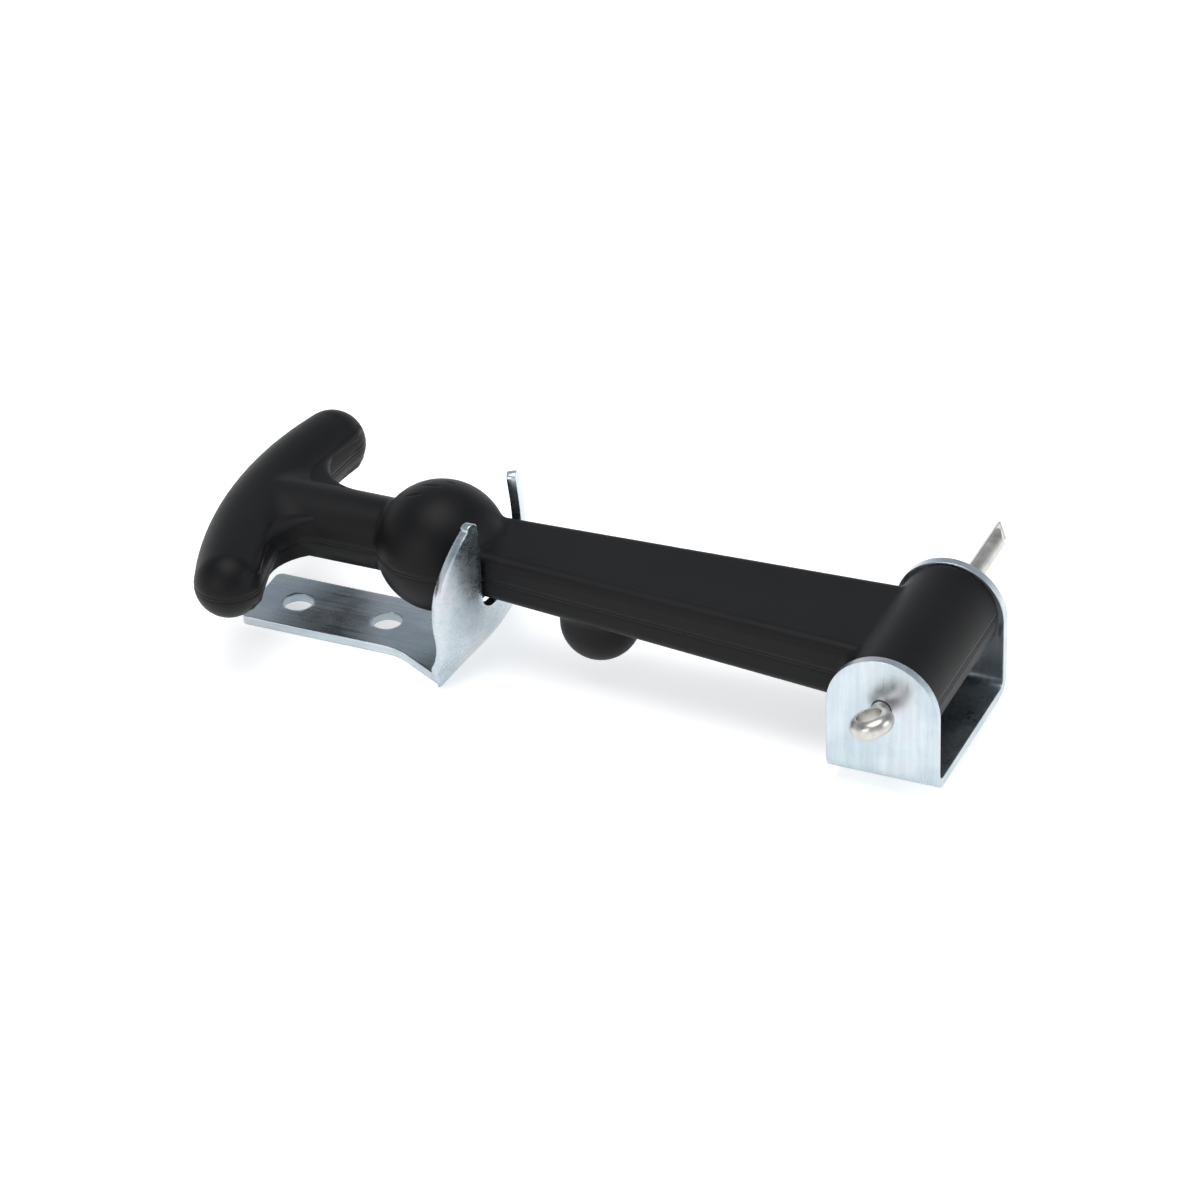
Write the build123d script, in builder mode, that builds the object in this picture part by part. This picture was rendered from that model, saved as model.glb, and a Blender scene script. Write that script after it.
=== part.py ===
"""Rubber T draw latch: a moulded rubber strap with a T handle and a ball, the
forked keeper that the ball hooks behind, the U-shaped anchor bracket, and the
split pin that the strap swings on.

Millimetres. The pin runs along Y above the origin, +Z is up from the anchor
bracket's mounting face, and the strap reaches out along -X to the keeper.
"""
import os
from math import cos, radians, sin, sqrt

from build123d import *

os.makedirs("parts", exist_ok=True)

# ---- driving dimensions -------------------------------------------------
ear_width = 25.0          # anchor bracket along X, and the arch on each ear
anchor_width = 43.8       # anchor bracket over both ears
anchor_sheet = 2.0
ear_height = 30.4
pin_height = 18.7         # pin axis above the anchor's mounting face
anchor_hole_spacing = 20.0
screw_hole = 6.8

shank_dia = 4.2           # split pin, both legs closed
eye_dia = 9.8
eye_roll = 19.0           # the eye lies turned about its own shank

strap_reach = 111.1       # pin axis to ball centre, along X
ball_dia = 29.4
ball_height = 22.3
barrel_dia = 22.2
strap_wide = 29.6         # strap where it meets the barrel
strap_narrow = 18.4       # strap where it passes through the fork
neck_dia = 16.4
grip_span = 77.0          # T handle over its two tips
grip_turn = 4.0           # the grip is set a little askew, in plan
nub_dia = 18.0

keeper_sheet = 2.0
keeper_drop = 2.7         # keeper's mounting face below the anchor's
keeper_length = 53.0
keeper_width = 19.3
keeper_hole_spacing = 22.0
fork_width = 47.0
fork_height = 41.2
slot_width = 21.6

# ---- fits and worked-out sizes ------------------------------------------
running = 0.06            # radial play of the shank in the rubber bore
seat = 0.3                # face to face gap of a piece that lies on another
bend = 2.0                # inner radius of the anchor's folds

# ---- anchor bracket: one folded strip, two arched ears ------------------
arch_z = ear_height - ear_width / 2
with BuildPart() as anchor_bracket:
    with BuildSketch(Plane.YZ) as channel:
        with Locations((0, ear_height / 2)):
            Rectangle(anchor_width, ear_height)
        fillet(channel.vertices().group_by(Axis.Y)[0], bend + anchor_sheet)
        with BuildSketch(Plane.YZ, mode=Mode.SUBTRACT) as inside:
            with Locations((0, anchor_sheet + ear_height / 2)):
                Rectangle(anchor_width - 2 * anchor_sheet, ear_height)
            fillet(inside.vertices().group_by(Axis.Y)[0], bend)
    extrude(amount=ear_width / 2, both=True)
    with BuildSketch(Plane.XZ):
        with Locations((0, arch_z / 2)):
            Rectangle(ear_width, arch_z)
        with Locations((0, arch_z)):
            Circle(ear_width / 2)
    extrude(amount=anchor_width, both=True, mode=Mode.INTERSECT)
    with BuildSketch(Plane.XZ):
        with Locations((0, pin_height)):
            Circle(shank_dia / 2 + 3 * running)
    extrude(amount=anchor_width, both=True, mode=Mode.SUBTRACT)
    with BuildSketch(Plane.XY):
        with GridLocations(0, anchor_hole_spacing, 1, 2):
            Circle(screw_hole / 2)
    extrude(amount=anchor_sheet, mode=Mode.SUBTRACT)
anchor_bracket.part.label = "anchor_bracket"

# ---- split pin: half-round wire bent into an eye and two legs -----------
roll = radians(eye_roll)
wire = shank_dia / 2
eye_gap = 0.8             # eye clear of the ear it stands in front of
eye_y = -(anchor_width / 2 + eye_gap + eye_dia / 2)
long_leg = anchor_width / 2 + 33.4
short_leg = anchor_width / 2 + 30.0
leg_split = 0.16
across = (cos(roll), 0, sin(roll))
pin_plane = Plane(origin=(0, eye_y, pin_height), x_dir=across, z_dir=(-sin(roll), 0, cos(roll)))
end_on = Plane(origin=(0, eye_y, pin_height), x_dir=across, z_dir=(0, 1, 0))
leg_end = long_leg - eye_y
short_end = short_leg - eye_y
with BuildPart() as split_pin:
    # the eye: half-round wire, its flat side inwards
    with BuildSketch(end_on) as wire_section:
        with Locations((eye_dia / 2 - wire, 0)):
            Ellipse(wire, shank_dia / 2)
        with Locations((eye_dia / 2 - 2 * wire, 0)):
            Rectangle(2 * wire, shank_dia, mode=Mode.SUBTRACT)
    revolve(axis=Axis(pin_plane.origin, pin_plane.z_dir))
    # the closed shank, seen end on, from within the eye's wire to the tips
    with BuildSketch(end_on.offset(eye_dia / 2 - wire / 2)):
        Circle(shank_dia / 2)
    extrude(amount=leg_end - eye_dia / 2 + wire / 2)
    with BuildSketch(pin_plane):
        with BuildLine():
            Polyline(
                (-shank_dia, leg_end + 1),
                (-shank_dia, leg_end - 6.4),
                (-shank_dia / 4, leg_end),
                (0, leg_end - 0.6),
                (0, short_end),
                (shank_dia / 4, short_end - 0.3),
                (shank_dia, short_end - 8),
                (shank_dia, leg_end + 1),
                close=True,
            )
        make_face()
        with Locations((0, leg_end / 2 + eye_dia / 4)):
            Rectangle(leg_split, leg_end - eye_dia / 2 - wire)
    extrude(amount=shank_dia, both=True, mode=Mode.SUBTRACT)
split_pin.part.label = "split_pin"

# ---- rubber strap: one moulding from the grip to the barrel -------------
ball = (-strap_reach, 0, ball_height)
barrel_length = anchor_width - 2 * anchor_sheet - 2 * seat
wide_x = -barrel_dia / 5
narrow_x = -strap_reach + ball_dia / 4
wide_depth, narrow_depth = 14.0, 10.8
wide_z, narrow_z = 19.9, ball_height
strap_edge = 2.6
web_radius, root_radius, collar_radius, crotch_radius = 2.0, 2.5, 2.0, 7.0
grip_x = -(strap_reach + 43.5)
grip_mid, grip_tip = 17.2, 15.4
grip_bow = 4.2            # how far the tips sweep back towards the ball
nub_x = -73.5
nub_low = 2.5

turn = radians(grip_turn)
grip_plane = Plane(origin=(grip_x, 0, ball_height), x_dir=(cos(turn), sin(turn), 0), z_dir=(0, 0, 1))
tip_y = (grip_span - grip_tip) / 2

with BuildPart() as rubber_strap:
    # the tapering band
    with BuildSketch(Plane.YZ.offset(wide_x)):
        with Locations((0, wide_z)):
            RectangleRounded(strap_wide, wide_depth, strap_edge)
    with BuildSketch(Plane.YZ.offset(narrow_x)):
        with Locations((0, narrow_z)):
            RectangleRounded(strap_narrow, narrow_depth, strap_edge)
    loft()
    with BuildSketch(Plane.XZ):
        with Locations((0, pin_height)):
            Circle(barrel_dia / 2)
    extrude(amount=barrel_length / 2, both=True)
    # the ball, with a soft web where the band runs into it
    with Locations(ball):
        Sphere(ball_dia / 2)
    web = rubber_strap.edges().filter_by_position(Axis.X, ball[0] + 9, ball[0] + ball_dia / 2)
    fillet(web, web_radius)
    root = rubber_strap.edges().filter_by_position(Axis.X, -barrel_dia / 2 - 1, -barrel_dia / 4)
    fillet(root.filter_by(lambda edge: abs(edge.center().Y) < strap_wide / 2), root_radius)
    # the grip: a bowed bar, thick in the middle, with round tips
    with BuildLine(grip_plane) as bow:
        ThreePointArc((grip_bow, -tip_y), (0, 0), (grip_bow, tip_y))
    for along, dia in ((0, grip_tip), (0.5, grip_mid), (1, grip_tip)):
        with BuildSketch(Plane(bow.line @ along, z_dir=bow.line % along)):
            Circle(dia / 2)
    sweep(path=bow.line, multisection=True)
    with Locations(bow.line @ 0, bow.line @ 1):
        Sphere(grip_tip / 2)
    with BuildSketch(Plane.YZ.offset(grip_x)):
        with Locations((0, ball_height)):
            Circle(neck_dia / 2)
    extrude(amount=-grip_x - strap_reach)
    crotch = rubber_strap.edges().filter_by_position(Axis.X, grip_x + 2, grip_x + 14)
    fillet(crotch.filter_by(lambda edge: abs(edge.center().Y) < neck_dia / 2), crotch_radius)
    collar = rubber_strap.edges().filter_by_position(Axis.X, ball[0] - ball_dia / 2, ball[0] - 8)
    fillet(collar.filter_by(GeomType.CIRCLE), collar_radius)
    # the stop under the band
    with BuildSketch(Plane.XY.offset(nub_low + nub_dia / 2)):
        with Locations((nub_x, 0)):
            Circle(nub_dia / 2)
    extrude(amount=wide_z - nub_low - nub_dia / 2)
    with Locations((nub_x, 0, nub_low + nub_dia / 2)):
        Sphere(nub_dia / 2)
    stop_root = rubber_strap.edges().filter_by_position(Axis.X, nub_x - nub_dia / 2, nub_x + nub_dia / 2)
    fillet(stop_root.filter_by_position(Axis.Z, nub_low + nub_dia / 2 + 1, wide_z), web_radius)
    with BuildSketch(Plane.XZ):
        with Locations((0, pin_height)):
            Circle(shank_dia / 2 + running)
    extrude(amount=anchor_width, both=True, mode=Mode.SUBTRACT)
rubber_strap.part.label = "rubber_strap"

# ---- keeper bracket: flat foot, bend, dished fork ------------------------
foot_low = -keeper_drop
fork_x = -104.2           # outside of the bend, where the fork leaves the foot
dish_x = -95.5            # the fork's face where it bulges furthest
dish_radius = 47.0
curl_radius = 106.0       # the horns bend back above the ball's middle
foot_end = fork_x - keeper_length
flare_x = -121.5
fork_foot = 17.6
side_x, side_z = fork_width / 2, 18.6
crown = 19.5              # radius of the fork's shoulders
slot_low = 14.7
slot_top = 10.6

def dish_section(height):
    """Apex and middle drop of the dished sheet at one height."""
    rise = min(1.0, (height - foot_low) / 15.6)
    ease = rise * (2 - rise)
    apex = fork_x + ease * (dish_x - fork_x) - max(0, height - ball_height) ** 2 / (2 * curl_radius)
    drop = 0.05 + min(1.0, 2.2 * rise) * (dish_radius - sqrt(dish_radius**2 - fork_width**2 / 4))
    return apex, drop

with BuildPart() as keeper_bracket:
    for height in (foot_low, foot_low + 4, foot_low + 8, foot_low + 15.6, ball_height, 31, 40):
        apex, drop = dish_section(height)
        with BuildSketch(Plane.XY.offset(height)):
            with BuildLine():
                half = fork_width / 2 + 1
                near = ThreePointArc((apex - drop, -half), (apex, 0), (apex - drop, half))
                back = apex - keeper_sheet
                far = ThreePointArc((back - drop, -half), (back, 0), (back - drop, half))
                Line(near @ 0, far @ 0)
                Line(near @ 1, far @ 1)
            make_face()
    loft()
    with BuildSketch(Plane.YZ) as outline:
        with BuildLine():
            shoulder = (side_x - crown + crown * cos(radians(52)), side_z + crown * sin(radians(52)))
            Line((0, foot_low), (fork_foot, foot_low))
            ThreePointArc((fork_foot, foot_low), (side_x - 2.4, 8), (side_x, side_z))
            RadiusArc((side_x, side_z), shoulder, -crown)
            Polyline(
                shoulder,
                (slot_width / 2 + 0.5, fork_height - keeper_drop + 2.1),
                (slot_top, 34),
                (slot_width / 2, 28),
                (slot_width / 2, slot_low),
                (0, slot_low),
                (0, foot_low),
            )
        make_face()
        corners = outline.vertices()
        fillet(corners.group_by(Axis.Y)[-1], 2.0)
        fillet(outline.vertices().sort_by_distance((slot_width / 2, slot_low))[0], 3.5)
        mirror(about=Plane.YZ)
    extrude(amount=fork_x * 2, mode=Mode.INTERSECT)
    with BuildSketch(Plane.XY.offset(foot_low)) as foot:
        with BuildLine():
            inner = JernArc((flare_x, keeper_width / 2), (1, 0), 12, 35)
            Line((foot_end, 0), (foot_end, keeper_width / 2))
            Line((foot_end, keeper_width / 2), (flare_x, keeper_width / 2))
            Line(inner @ 1, (fork_x - 1, fork_foot))
            Line((fork_x - 1, fork_foot), (fork_x - 1, 0))
            Line((fork_x - 1, 0), (foot_end, 0))
        make_face()
        fillet(foot.vertices().sort_by_distance((foot_end, keeper_width / 2))[0], 1.5)
        mirror(about=Plane.XZ)
        with Locations((-147.6, 0), (-147.6 + keeper_hole_spacing, 0)):
            Circle(screw_hole / 2, mode=Mode.SUBTRACT)
    extrude(amount=keeper_sheet)
keeper_bracket.part.label = "keeper_bracket"

for piece in (anchor_bracket, split_pin, rubber_strap, keeper_bracket):
    export_step(piece.part, f"parts/{piece.part.label}.step")
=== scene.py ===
"""Looks of the rubber T draw latch: a moulded rubber strap that hooks behind a
forked sheet keeper and swings on a split pin in a folded anchor bracket.
Metres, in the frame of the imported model: the pin runs along Y above the origin,
+Z is up from the anchor bracket's mounting face, and the strap reaches along -X.
"""
from math import cos, radians, sin

import bpy
from mathutils import Matrix, Vector


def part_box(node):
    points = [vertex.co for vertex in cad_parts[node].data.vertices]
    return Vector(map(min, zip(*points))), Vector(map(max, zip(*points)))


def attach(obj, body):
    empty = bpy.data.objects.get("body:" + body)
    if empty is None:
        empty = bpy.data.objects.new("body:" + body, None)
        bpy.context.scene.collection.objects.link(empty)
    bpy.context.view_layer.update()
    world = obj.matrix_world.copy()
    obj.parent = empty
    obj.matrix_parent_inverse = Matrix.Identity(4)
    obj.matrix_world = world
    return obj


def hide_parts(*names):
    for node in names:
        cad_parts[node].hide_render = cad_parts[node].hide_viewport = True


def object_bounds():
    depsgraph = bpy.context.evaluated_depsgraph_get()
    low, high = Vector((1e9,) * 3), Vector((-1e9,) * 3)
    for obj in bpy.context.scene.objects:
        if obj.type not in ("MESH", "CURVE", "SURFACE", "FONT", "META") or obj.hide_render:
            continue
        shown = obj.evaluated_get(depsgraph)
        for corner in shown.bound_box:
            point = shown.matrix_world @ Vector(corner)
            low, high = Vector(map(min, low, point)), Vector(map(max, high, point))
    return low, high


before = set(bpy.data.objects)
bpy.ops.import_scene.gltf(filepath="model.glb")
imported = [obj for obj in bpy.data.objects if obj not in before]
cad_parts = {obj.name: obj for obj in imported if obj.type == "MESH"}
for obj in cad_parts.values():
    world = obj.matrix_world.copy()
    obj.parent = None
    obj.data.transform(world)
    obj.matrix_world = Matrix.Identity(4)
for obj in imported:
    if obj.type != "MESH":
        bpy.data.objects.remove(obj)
cad_low, cad_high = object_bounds()


# ---- Rubber strap ---------------------------------------------------------
# One black rubber moulding, from the grip through the ball and the band to the
# barrel. It comes out of a two-part mould, so a fine line of flash runs all
# round it at half its depth, and the skin is matt with a soft sheen.
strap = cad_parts["rubber_strap"]
rubber_colour = (0.0030, 0.0030, 0.0034)
rubber_bloom = (0.0065, 0.0065, 0.0070)
# painted highlight: a lighter grey laid onto the bead of flash so the line looks lit
rubber_flash_highlight = (0.016, 0.016, 0.017)
barrel_line = 0.0197          # height of the parting line at the barrel
ball_line = 0.0223            # and from the ball to the grip
ball_x = -0.1111
flash_half = 0.00030          # half the width of the line of flash
flash_wander = 0.00012        # how far the line strays up and down


def wire(tree, start, end):
    tree.links.new(start, end)


def new_tree(name):
    made = bpy.data.materials.new(name)
    made.use_nodes = True
    tree = made.node_tree
    shader = tree.nodes["Principled BSDF"]
    return made, tree, shader


def maths(tree, kind, first, second=None):
    """A maths node, with sockets linked and numbers set."""
    node = tree.nodes.new("ShaderNodeMath")
    node.operation = kind
    for socket, value in zip(node.inputs, (first, second)):
        if value is None:
            continue
        if isinstance(value, (int, float)):
            socket.default_value = value
        else:
            wire(tree, value, socket)
    return node.outputs[0]


def speckle(tree, coords, scale, detail, stretch=(1, 1, 1), rough=0.5):
    """Noise on Object coordinates, drawn out along an axis by stretch."""
    place = tree.nodes.new("ShaderNodeMapping")
    place.inputs["Scale"].default_value = stretch
    wire(tree, coords, place.inputs["Vector"])
    noise = tree.nodes.new("ShaderNodeTexNoise")
    noise.inputs["Scale"].default_value = scale
    noise.inputs["Detail"].default_value = detail
    noise.inputs["Roughness"].default_value = rough
    wire(tree, place.outputs["Vector"], noise.inputs["Vector"])
    return noise.outputs["Fac"]


def ramp(tree, factor, *stops):
    """A colour ramp with the given (position, colour) stops."""
    node = tree.nodes.new("ShaderNodeValToRGB")
    steps = node.color_ramp.elements
    while len(steps) < len(stops):
        steps.new(0.5)
    for step, (place, colour) in zip(steps, stops):
        step.position = place
        step.color = (*colour, 1)
    wire(tree, factor, node.inputs["Fac"])
    return node.outputs["Color"]


def span(tree, value, low, high, out_low=0.0, out_high=1.0):
    """Maps a stretch of a value onto another, and holds it at both ends."""
    node = tree.nodes.new("ShaderNodeMapRange")
    ends = {"From Min": low, "From Max": high, "To Min": out_low, "To Max": out_high}
    for name, number in ends.items():
        node.inputs[name].default_value = number
    wire(tree, value, node.inputs["Value"])
    return node.outputs["Result"]


def relief(tree, height, distance, under=None, strength=1.0):
    """A bump, laid over another bump's normal if one is given."""
    node = tree.nodes.new("ShaderNodeBump")
    node.inputs["Strength"].default_value = strength
    node.inputs["Distance"].default_value = distance
    wire(tree, height, node.inputs["Height"])
    if under is not None:
        wire(tree, under, node.inputs["Normal"])
    return node.outputs["Normal"]


def soft_edges(tree, radius):
    """The small rounding that pressing or moulding leaves on every edge."""
    node = tree.nodes.new("ShaderNodeBevel")
    node.samples = 6
    node.inputs["Radius"].default_value = radius
    return node.outputs["Normal"]


def near_point(tree, coords, centre, stretch):
    """Distance from a point, with each axis stretched, for a local mark."""
    place = tree.nodes.new("ShaderNodeMapping")
    place.inputs["Scale"].default_value = stretch
    place.inputs["Location"].default_value = [-c * s for c, s in zip(centre, stretch)]
    wire(tree, coords, place.inputs["Vector"])
    length = tree.nodes.new("ShaderNodeVectorMath")
    length.operation = "LENGTH"
    wire(tree, place.outputs["Vector"], length.inputs[0])
    return length.outputs["Value"]


def moulded_rubber():
    made, tree, shader = new_tree("moulded_rubber")
    coords = tree.nodes.new("ShaderNodeTexCoord").outputs["Object"]
    parts = tree.nodes.new("ShaderNodeSeparateXYZ")
    wire(tree, coords, parts.inputs[0])
    # the flash line: its height eases from the ball's middle to the barrel's
    line = span(tree, parts.outputs["X"], ball_x, 0.0, ball_line, barrel_line)
    wander = speckle(tree, coords, 55, 2)
    line = maths(tree, "ADD", line, span(tree, wander, 0, 1, -flash_wander, flash_wander))
    off_line = maths(tree, "ABSOLUTE", maths(tree, "SUBTRACT", parts.outputs["Z"], line))
    bead = span(tree, off_line, 0.0, flash_half, 1.0, 0.0)
    gutter = span(tree, off_line, flash_half, 3.2 * flash_half, 0.0, 1.0)
    # short nicks on the ball's crown and long scuffs inside the grip
    nick = None
    for centre, stretch in (
        ((-0.1160, -0.0030, 0.0363), (420, 1500, 300)),
        ((-0.1135, 0.0005, 0.0368), (380, 1700, 300)),
        ((-0.1100, 0.0035, 0.0365), (700, 1500, 300)),
        ((-0.1453, 0.0235, 0.0262), (1100, 120, 1100)),
        ((-0.1448, 0.0262, 0.0236), (1300, 150, 1300)),
        ((-0.1440, -0.0235, 0.0262), (1300, 140, 1300)),
        ((-0.1432, -0.0272, 0.0240), (1500, 170, 1500)),
    ):
        mark = span(tree, near_point(tree, coords, centre, stretch), 0.5, 1.0, 1.0, 0.0)
        nick = mark if nick is None else maths(tree, "MAXIMUM", nick, mark)
    # the skin: a faint cloudy bloom, fine pores and soft waves from the mould
    cloud = speckle(tree, coords, 38, 5)
    pores = speckle(tree, coords, 2600, 3, rough=0.6)
    waves = speckle(tree, coords, 120, 3, (0.5, 1, 1))
    bloom = ramp(tree, cloud, (0.36, rubber_colour), (0.74, rubber_bloom))
    # painted highlight: the bead of flash is mixed halfway towards a lighter grey
    edge = tree.nodes.new("ShaderNodeMix")
    edge.data_type = "RGBA"
    edge.inputs["B"].default_value = (*rubber_flash_highlight, 1)
    wire(tree, bloom, edge.inputs["A"])
    wire(tree, maths(tree, "MULTIPLY", bead, 0.5), edge.inputs["Factor"])
    wire(tree, edge.outputs["Result"], shader.inputs["Base Color"])
    skin_gloss = span(tree, cloud, 0.3, 0.75, 0.44, 0.56)
    gloss = maths(tree, "ADD", skin_gloss, maths(tree, "MULTIPLY", nick, 0.15))
    wire(tree, gloss, shader.inputs["Roughness"])
    shader.inputs["Specular IOR Level"].default_value = 0.17
    normal = relief(tree, waves, 0.00012, soft_edges(tree, 0.0006), 0.6)
    normal = relief(tree, pores, 0.000012, normal, 0.5)
    normal = relief(tree, maths(tree, "MULTIPLY", gutter, 0.5), 0.0003, normal)
    normal = relief(tree, bead, 0.00035, normal)
    normal = relief(tree, maths(tree, "SUBTRACT", 1.0, nick), 0.00025, normal)
    wire(tree, normal, shader.inputs["Normal"])
    return made


def dress(node, material):
    node.data.materials.clear()
    node.data.materials.append(material)


dress(strap, moulded_rubber())


# ---- Back of the grip -------------------------------------------------------
# The side of the grip that the fingers pull on is flat, with soft corners, and
# broad webs carry it into the neck. It is the same moulding as the strap.
grip_middle = (-0.1546, 0.0, 0.0223)
grip_turn = radians(4.0)
grip_sweep = 0.0042           # the tips sweep this far towards the ball
grip_reach = 0.0308           # from the neck's axis to the middle of a tip
back_depth = 0.0074
web_radius = 0.0125
neck_half = 0.0068
back_half_height = 0.0050
tip_half = 0.0052             # half the width of a rounded tip
back_rounding = 0.0024
web_end = neck_half + web_radius


def grip_spine(y):
    return grip_sweep * (y / grip_reach) ** 2


web_x = grip_spine(web_end) + back_depth + web_radius
half_outline = [
    (web_x - web_radius * sin(radians(a)), web_end - web_radius * cos(radians(a)))
    for a in range(0, 91, 9)
]
half_outline += [(grip_spine(y) + back_depth, y) for y in (0.0235, 0.0268, 0.0295)]
half_outline += [
    (grip_spine(grip_reach) + back_depth * cos(radians(a)), grip_reach + tip_half * sin(radians(a)))
    for a in range(25, 91, 13)
]
half_outline += [(grip_spine(y), y) for y in (0.027, 0.020, 0.010)]
outline = half_outline + [(0.0, 0.0)] + [(x, -y) for x, y in reversed(half_outline)]

bpy.ops.object.select_all(action="DESELECT")
bpy.ops.mesh.primitive_circle_add(vertices=len(outline), fill_type="NGON")
grip_back = bpy.context.object
grip_back.name = "grip_back"
for vertex, (x, y) in zip(grip_back.data.vertices, outline):
    vertex.co = (
        grip_middle[0] + x * cos(grip_turn) - y * sin(grip_turn),
        grip_middle[1] + x * sin(grip_turn) + y * cos(grip_turn),
        grip_middle[2] - back_half_height,
    )
bpy.ops.object.mode_set(mode="EDIT")
bpy.ops.mesh.select_all(action="SELECT")
bpy.ops.mesh.extrude_region_move(TRANSFORM_OT_translate={"value": (0, 0, 2 * back_half_height)})
bpy.ops.mesh.select_all(action="SELECT")
bpy.ops.mesh.normals_make_consistent(inside=False)
bpy.ops.object.mode_set(mode="OBJECT")
round_over = grip_back.modifiers.new("round_over", "BEVEL")
round_over.width = back_rounding
round_over.segments = 5
round_over.limit_method = "ANGLE"
round_over.angle_limit = radians(50)
bpy.ops.object.modifier_apply(modifier="round_over")
bpy.ops.object.shade_smooth_by_angle(angle=radians(40))
dress(grip_back, strap.data.materials[0])
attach(grip_back, "strap")


# ---- Anchor and keeper brackets -------------------------------------------
# Both are pressed from 2 mm steel sheet, folded, and bright zinc plated. The
# plating is bluish with a faint play of pink and green, rolled streaks run
# along each strip, and the cut edges catch the light.
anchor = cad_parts["anchor_bracket"]
zinc_blue = (0.49, 0.56, 0.61)
zinc_pale = (0.58, 0.64, 0.67)
zinc_pink = (0.60, 0.58, 0.64)
zinc_green = (0.51, 0.61, 0.61)


def zinc_plate(name, along, roughness):
    """Bright zinc, with rolled streaks drawn out along one axis of the strip."""
    made, tree, shader = new_tree(name)
    coords = tree.nodes.new("ShaderNodeTexCoord").outputs["Object"]
    drawn_out = tuple(0.06 if axis == along else 1.0 for axis in "XYZ")
    tint = ramp(
        tree,
        speckle(tree, coords, 70, 3),
        (0.30, zinc_green),
        (0.44, zinc_blue),
        (0.56, zinc_pale),
        (0.72, zinc_pink),
    )
    streaks = speckle(tree, coords, 900, 4, drawn_out, 0.65)
    blotch = speckle(tree, coords, 160, 4)
    shade = tree.nodes.new("ShaderNodeMix")
    shade.data_type = "RGBA"
    shade.blend_type = "MULTIPLY"
    wire(tree, tint, shade.inputs["A"])
    streak_tone = ramp(tree, streaks, (0.32, (0.86, 0.87, 0.88)), (0.62, (1, 1, 1)))
    wire(tree, streak_tone, shade.inputs["B"])
    shade.inputs["Factor"].default_value = 1.0
    wire(tree, shade.outputs["Result"], shader.inputs["Base Color"])
    shader.inputs["Metallic"].default_value = 1.0
    worn = maths(tree, "ADD", streaks, blotch)
    rough = span(tree, worn, 0.7, 1.3, roughness, roughness + 0.14)
    wire(tree, rough, shader.inputs["Roughness"])
    normal = relief(tree, blotch, 0.00004, soft_edges(tree, 0.00035), 0.4)
    normal = relief(tree, streaks, 0.000012, normal, 0.5)
    wire(tree, normal, shader.inputs["Normal"])
    return made


dress(anchor, zinc_plate("anchor_zinc", "Z", 0.24))


# ---- Keeper's pressed sheet --------------------------------------------------
# One sheet: a flat foot that flares into a soft bend, then a dished fork with
# two round horns and a slot for the strap's band. It is laid out row by row
# from the foot's end to the tips, then thickened and its edges broken.
keeper_low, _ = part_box("keeper_bracket")
sheet = 0.002
foot_under = keeper_low[2]
foot_end = keeper_low[0]
foot_half = 0.00965
foot_corner = 0.0015
flare_start, flare_radius, flare_turn = -0.1215, 0.012, radians(35)
bend_x = -0.1042
bend_half = 0.0176            # half the width at the bend
bend_inset = 0.0014           # the bend starts this far before its corner
bend_height = 0.0011          # and ends this far above it
fork_bulge = 0.0087           # how far the fork's face stands in front of the bend
fork_rise = 0.0156            # height over which it gets there
dish_radius = 0.047
horn_curl, curl_from = 0.106, 0.0223
widest, widest_at = 0.0235, 0.0187
horn_middle, horn_span, horn_height = 0.0020, 0.0215, 0.0205
slot_half, slot_under, slot_corner = 0.0108, 0.0147, 0.0035
slot_lean, lean_from, lean_over = 0.0004, 0.028, 0.006
horn_tip, tip_from, tip_middle = 0.0372, 0.0360, 0.0119
screw_holes = (-0.1476, -0.1256)
screw_radius = 0.0034
punch_depth = 0.01
broken_edge = 0.0003


def root(value):
    return max(0.0, value) ** 0.5


def foot_width(x):
    if x < foot_end + foot_corner:
        return foot_half - foot_corner + root(foot_corner**2 - (foot_end + foot_corner - x) ** 2)
    along = x - flare_start
    if along < 0:
        return foot_half
    curved = flare_radius * sin(flare_turn)
    if along < curved:
        return foot_half + flare_radius - root(flare_radius**2 - along**2)
    start = foot_half + flare_radius * (1 - cos(flare_turn))
    return start + (bend_half - start) * (along - curved) / (bend_x - flare_start - curved)


def fork_face(y, height):
    """X of the fork's front face: bulged, dished across, curled back at the tips."""
    rise = min(1.0, (height - foot_under) / fork_rise)
    dish = dish_radius - root(dish_radius**2 - y**2)
    curl = max(0.0, height - curl_from) ** 2 / (2 * horn_curl)
    return bend_x + fork_bulge * rise * (2 - rise) - dish * min(1.0, 3.5 * rise) - curl


def fork_width(height):
    if height < widest_at:
        share = (height - foot_under) / (widest_at - foot_under)
        return bend_half + (widest - bend_half) * (1 - (1 - share) ** 2)
    edge = horn_middle + horn_span * root(1 - ((height - widest_at) / horn_height) ** 2)
    if height < tip_from:
        return edge
    round_off = root(1 - ((height - tip_from) / (horn_tip - tip_from)) ** 2)
    start = horn_middle + horn_span * root(1 - ((tip_from - widest_at) / horn_height) ** 2)
    return tip_middle + (start - tip_middle) * round_off


def slot_side(height):
    if height < slot_under + slot_corner:
        below = slot_under + slot_corner - max(height, slot_under)
        return slot_half - slot_corner + root(slot_corner**2 - below**2)
    leaned = slot_half - slot_lean * min(1.0, max(0.0, height - lean_from) / lean_over)
    if height < tip_from:
        return leaned
    round_off = root(1 - ((height - tip_from) / (horn_tip - tip_from)) ** 2)
    return tip_middle - (tip_middle - leaned) * round_off


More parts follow.
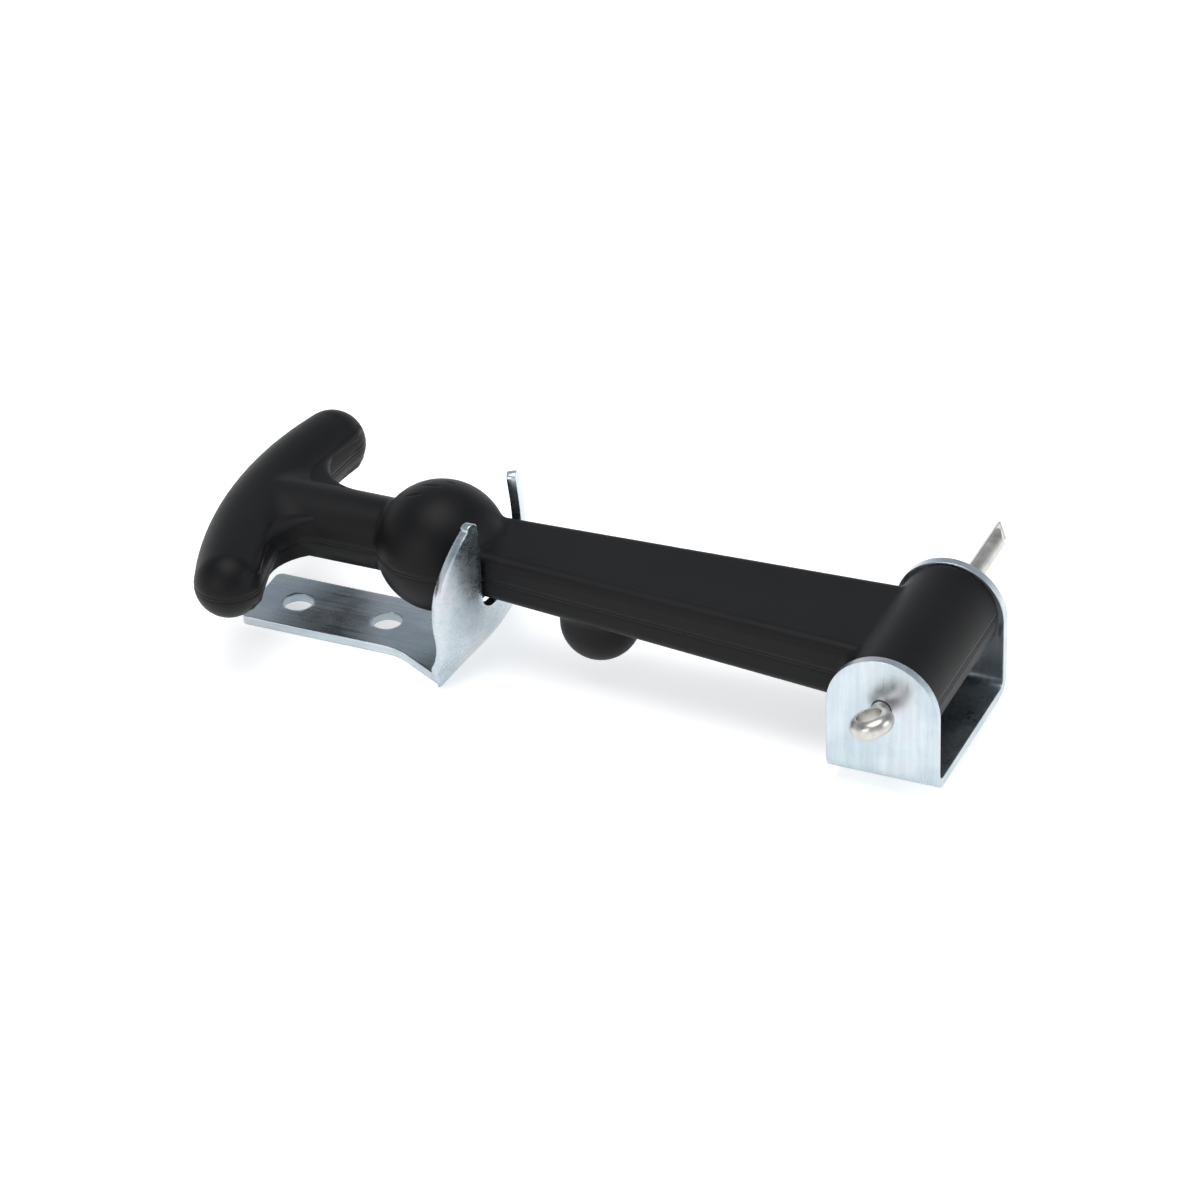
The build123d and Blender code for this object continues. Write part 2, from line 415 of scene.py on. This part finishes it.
# each row: a function of y for its place, its half width, and its slot's half
rows = []
for step in range(6):
    x = foot_end + foot_corner * (1 - cos(radians(18 * step)))
    rows.append((lambda y, x=x: (x, foot_under), foot_width(x), None))
for step in range(1, 45):
    x = foot_end + foot_corner + (bend_x - bend_inset - foot_end - foot_corner) * step / 44
    rows.append((lambda y, x=x: (x, foot_under), foot_width(x), None))
for step in range(1, 6):      # the bend, eased from the foot's line to the fork's
    t = step / 6
    height = foot_under + bend_height

    def eased(y, t=t, height=height):
        ends = (bend_x - bend_inset, bend_x, fork_face(y, height))
        x = (1 - t) ** 2 * ends[0] + 2 * t * (1 - t) * ends[1] + t**2 * ends[2]
        return x, foot_under + t**2 * (height - foot_under)

    rows.append((eased, bend_half + t * (fork_width(height) - bend_half), None))
heights = [
    foot_under + bend_height + (slot_under - foot_under - bend_height) * step / 22
    for step in range(23)
]
heights += [slot_under + slot_corner * (1 - cos(radians(11.25 * step))) for step in range(1, 9)]
heights += [
    slot_under + slot_corner + (tip_from - slot_under - slot_corner) * step / 24
    for step in range(1, 25)
]
heights += [tip_from + (horn_tip - tip_from) * sin(radians(9.6 * step)) for step in range(1, 10)]
for height in heights:
    side = slot_side(height) if height > slot_under + 1e-9 else None
    rows.append((lambda y, height=height: (fork_face(y, height), height), fork_width(height), side))

side_cells, middle_cells = 9, 8
guide = slot_half - slot_corner
corners, cells = [], []
for place, half, side in rows:
    inner = guide if side is None else side
    across = [-half + (half - inner) * step / side_cells for step in range(side_cells)]
    across += [-inner + 2 * inner * step / middle_cells for step in range(middle_cells)]
    across += [inner + (half - inner) * step / side_cells for step in range(side_cells + 1)]
    corners += [(place(y)[0], y, place(y)[1]) for y in across]
wide = 2 * side_cells + middle_cells + 1
for row, (_, _, side) in enumerate(rows[1:]):
    for cell in range(wide - 1):
        if side is not None and side_cells <= cell < side_cells + middle_cells:
            continue
        a = row * wide + cell
        cells.append((a, a + wide, a + wide + 1, a + 1))

keeper_mesh = bpy.data.meshes.new("keeper_sheet")
keeper_mesh.from_pydata(corners, [], cells)
keeper_sheet = bpy.data.objects.new("keeper_sheet", keeper_mesh)
bpy.context.scene.collection.objects.link(keeper_sheet)
bpy.ops.object.select_all(action="DESELECT")
bpy.context.view_layer.objects.active = keeper_sheet
keeper_sheet.select_set(True)
bpy.ops.object.mode_set(mode="EDIT")
bpy.ops.mesh.select_all(action="SELECT")
bpy.ops.mesh.delete_loose()
bpy.ops.mesh.select_all(action="SELECT")
bpy.ops.mesh.remove_doubles(threshold=0.00001)
bpy.ops.mesh.normals_make_consistent(inside=False)
bpy.ops.object.mode_set(mode="OBJECT")
if keeper_sheet.data.polygons[0].normal.z > 0:
    keeper_sheet.data.flip_normals()
thicken = keeper_sheet.modifiers.new("thicken", "SOLIDIFY")
thicken.thickness = sheet
thicken.offset = -1
thicken.use_even_offset = True
bpy.ops.object.modifier_apply(modifier="thicken")
for number, x in enumerate(screw_holes):
    bpy.ops.object.select_all(action="DESELECT")
    bpy.ops.mesh.primitive_cylinder_add(
        vertices=64, radius=screw_radius, depth=punch_depth, location=(x, 0, foot_under)
    )
    punch = bpy.context.object
    hole = keeper_sheet.modifiers.new(f"hole_{number}", "BOOLEAN")
    hole.operation = "DIFFERENCE"
    hole.object = punch
    bpy.context.view_layer.objects.active = keeper_sheet
    bpy.ops.object.modifier_apply(modifier=hole.name)
    bpy.data.objects.remove(punch)
bpy.ops.object.select_all(action="DESELECT")
keeper_sheet.select_set(True)
broken = keeper_sheet.modifiers.new("broken_edges", "BEVEL")
broken.width = broken_edge
broken.segments = 2
broken.limit_method = "ANGLE"
broken.angle_limit = radians(50)
bpy.ops.object.modifier_apply(modifier="broken_edges")
bpy.ops.object.shade_smooth_by_angle(angle=radians(38))
dress(keeper_sheet, zinc_plate("keeper_zinc", "X", 0.20))
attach(keeper_sheet, "panel_side")
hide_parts("keeper_bracket")


# ---- Split pin -------------------------------------------------------------
# Half-round steel wire, bent round into an eye with its two flat sides
# together. Its plating is warmer and duller than the brackets'.
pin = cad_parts["split_pin"]
pin_colour = (0.46, 0.44, 0.40)
pin_bright = (0.62, 0.61, 0.57)


def drawn_wire():
    made, tree, shader = new_tree("drawn_wire")
    coords = tree.nodes.new("ShaderNodeTexCoord").outputs["Object"]
    drawn = speckle(tree, coords, 1400, 3, (1, 0.05, 1))
    patches = speckle(tree, coords, 320, 4)
    tone = ramp(tree, patches, (0.35, pin_colour), (0.65, pin_bright))
    wire(tree, tone, shader.inputs["Base Color"])
    shader.inputs["Metallic"].default_value = 1.0
    wire(tree, span(tree, patches, 0.3, 0.7, 0.24, 0.40), shader.inputs["Roughness"])
    normal = relief(tree, patches, 0.00005, soft_edges(tree, 0.0002), 0.5)
    wire(tree, relief(tree, drawn, 0.000015, normal, 0.5), shader.inputs["Normal"])
    return made


dress(pin, drawn_wire())


# ---- Floor and backdrop ----------------------------------------------------
# A plain white floor under the keeper's foot. It looks white to the camera and
# in the metal, and keeps a soft shadow of the latch.
floor_half = 1.6
floor_gap = 0.0002
floor_level = cad_low[2] - floor_gap
floor_white = 0.80
floor_glow = 0.55             # what the camera and the metal see on top of it

bpy.ops.object.select_all(action="DESELECT")
bpy.ops.mesh.primitive_plane_add(size=2 * floor_half, location=(0, 0, floor_level))
floor = bpy.context.object
floor.name = "floor"


def white_floor():
    made, tree, shader = new_tree("white_floor")
    shader.inputs["Base Color"].default_value = (floor_white, floor_white, floor_white, 1)
    shader.inputs["Roughness"].default_value = 0.9
    shader.inputs["Specular IOR Level"].default_value = 0.0
    seen = tree.nodes.new("ShaderNodeLightPath")
    glow = tree.nodes.new("ShaderNodeEmission")
    glow.inputs["Strength"].default_value = floor_glow
    both = tree.nodes.new("ShaderNodeAddShader")
    wire(tree, shader.outputs[0], both.inputs[0])
    wire(tree, glow.outputs[0], both.inputs[1])
    pick = tree.nodes.new("ShaderNodeMixShader")
    sight = maths(tree, "MAXIMUM", seen.outputs["Is Camera Ray"], seen.outputs["Is Glossy Ray"])
    wire(tree, sight, pick.inputs["Fac"])
    wire(tree, shader.outputs[0], pick.inputs[1])
    wire(tree, both.outputs[0], pick.inputs[2])
    wire(tree, pick.outputs[0], tree.nodes["Material Output"].inputs["Surface"])
    return made


dress(floor, white_floor())


# ---- Light -----------------------------------------------------------------
# A broad soft light overhead, one low in front and one on the right. The studio
# above the floor is dim, so flat tops of metal show a dark gradient between them.
world = bpy.data.worlds.new("studio")
bpy.context.scene.world = world
world.use_nodes = True
studio = world.node_tree
sky = studio.nodes["Background"]
sky_place = studio.nodes.new("ShaderNodeTexCoord")
sky_parts = studio.nodes.new("ShaderNodeSeparateXYZ")
studio.links.new(sky_place.outputs["Generated"], sky_parts.inputs[0])
sky_tone = ramp(
    studio,
    sky_parts.outputs["Z"],
    (0.0, (0.95, 0.95, 0.95)),
    (0.30, (0.70, 0.72, 0.75)),
    (0.52, (0.34, 0.37, 0.42)),
    (0.80, (0.40, 0.42, 0.45)),
    (1.0, (0.9, 0.9, 0.9)),
)
seen_by = studio.nodes.new("ShaderNodeLightPath")
backdrop = studio.nodes.new("ShaderNodeMix")
backdrop.data_type = "RGBA"
backdrop.inputs["B"].default_value = (1, 1, 1, 1)
studio.links.new(seen_by.outputs["Is Camera Ray"], backdrop.inputs["Factor"])
studio.links.new(sky_tone, backdrop.inputs["A"])
studio.links.new(backdrop.outputs["Result"], sky.inputs["Color"])
sky.inputs["Strength"].default_value = 1.0

middle = Vector([(low + high) / 2 for low, high in zip(cad_low, cad_high)])


def softbox(name, place, width, power, tint=(1, 1, 1)):
    """A square lamp that faces the middle of the latch."""
    lamp = bpy.data.lights.new(name, "AREA")
    lamp.size = width
    lamp.energy = power
    lamp.color = tint
    stand = bpy.data.objects.new(name, lamp)
    bpy.context.scene.collection.objects.link(stand)
    stand.location = middle + Vector(place)
    stand.rotation_euler = (-Vector(place)).to_track_quat("-Z", "Y").to_euler()


softbox("overhead", (-0.05, -0.10, 0.95), 0.70, 4.6)
softbox("front", (-0.35, -0.95, 0.45), 0.60, 2.2)
softbox("right", (0.90, 0.10, 0.40), 0.50, 2.0, (0.95, 0.98, 1.0))


# ---- Camera ----------------------------------------------------------------
# It looks down on the latch from the pin's eye and the anchor's open end, from
# far enough away that parallel edges stay nearly parallel.
azimuth, elevation, roll = radians(24.0), radians(32.4), radians(-1.8)
distance = 1.2
lens_length = 165.3
aim = Vector((-0.0736, 0.0, 0.0164))
ahead = Vector((-sin(azimuth) * cos(elevation), cos(azimuth) * cos(elevation), -sin(elevation)))
right = Vector((cos(azimuth), sin(azimuth), 0))
up = right.cross(ahead)
right, up = cos(roll) * right + sin(roll) * up, cos(roll) * up - sin(roll) * right
view = bpy.data.cameras.new("view")
view.sensor_width = 36
view.lens = lens_length
camera = bpy.data.objects.new("camera", view)
bpy.context.scene.collection.objects.link(camera)
turned = Matrix((right, up, -ahead)).transposed().to_4x4()
camera.matrix_world = Matrix.Translation(aim - distance * ahead) @ turned
bpy.context.scene.camera = camera
bpy.context.scene.view_settings.view_transform = "Standard"
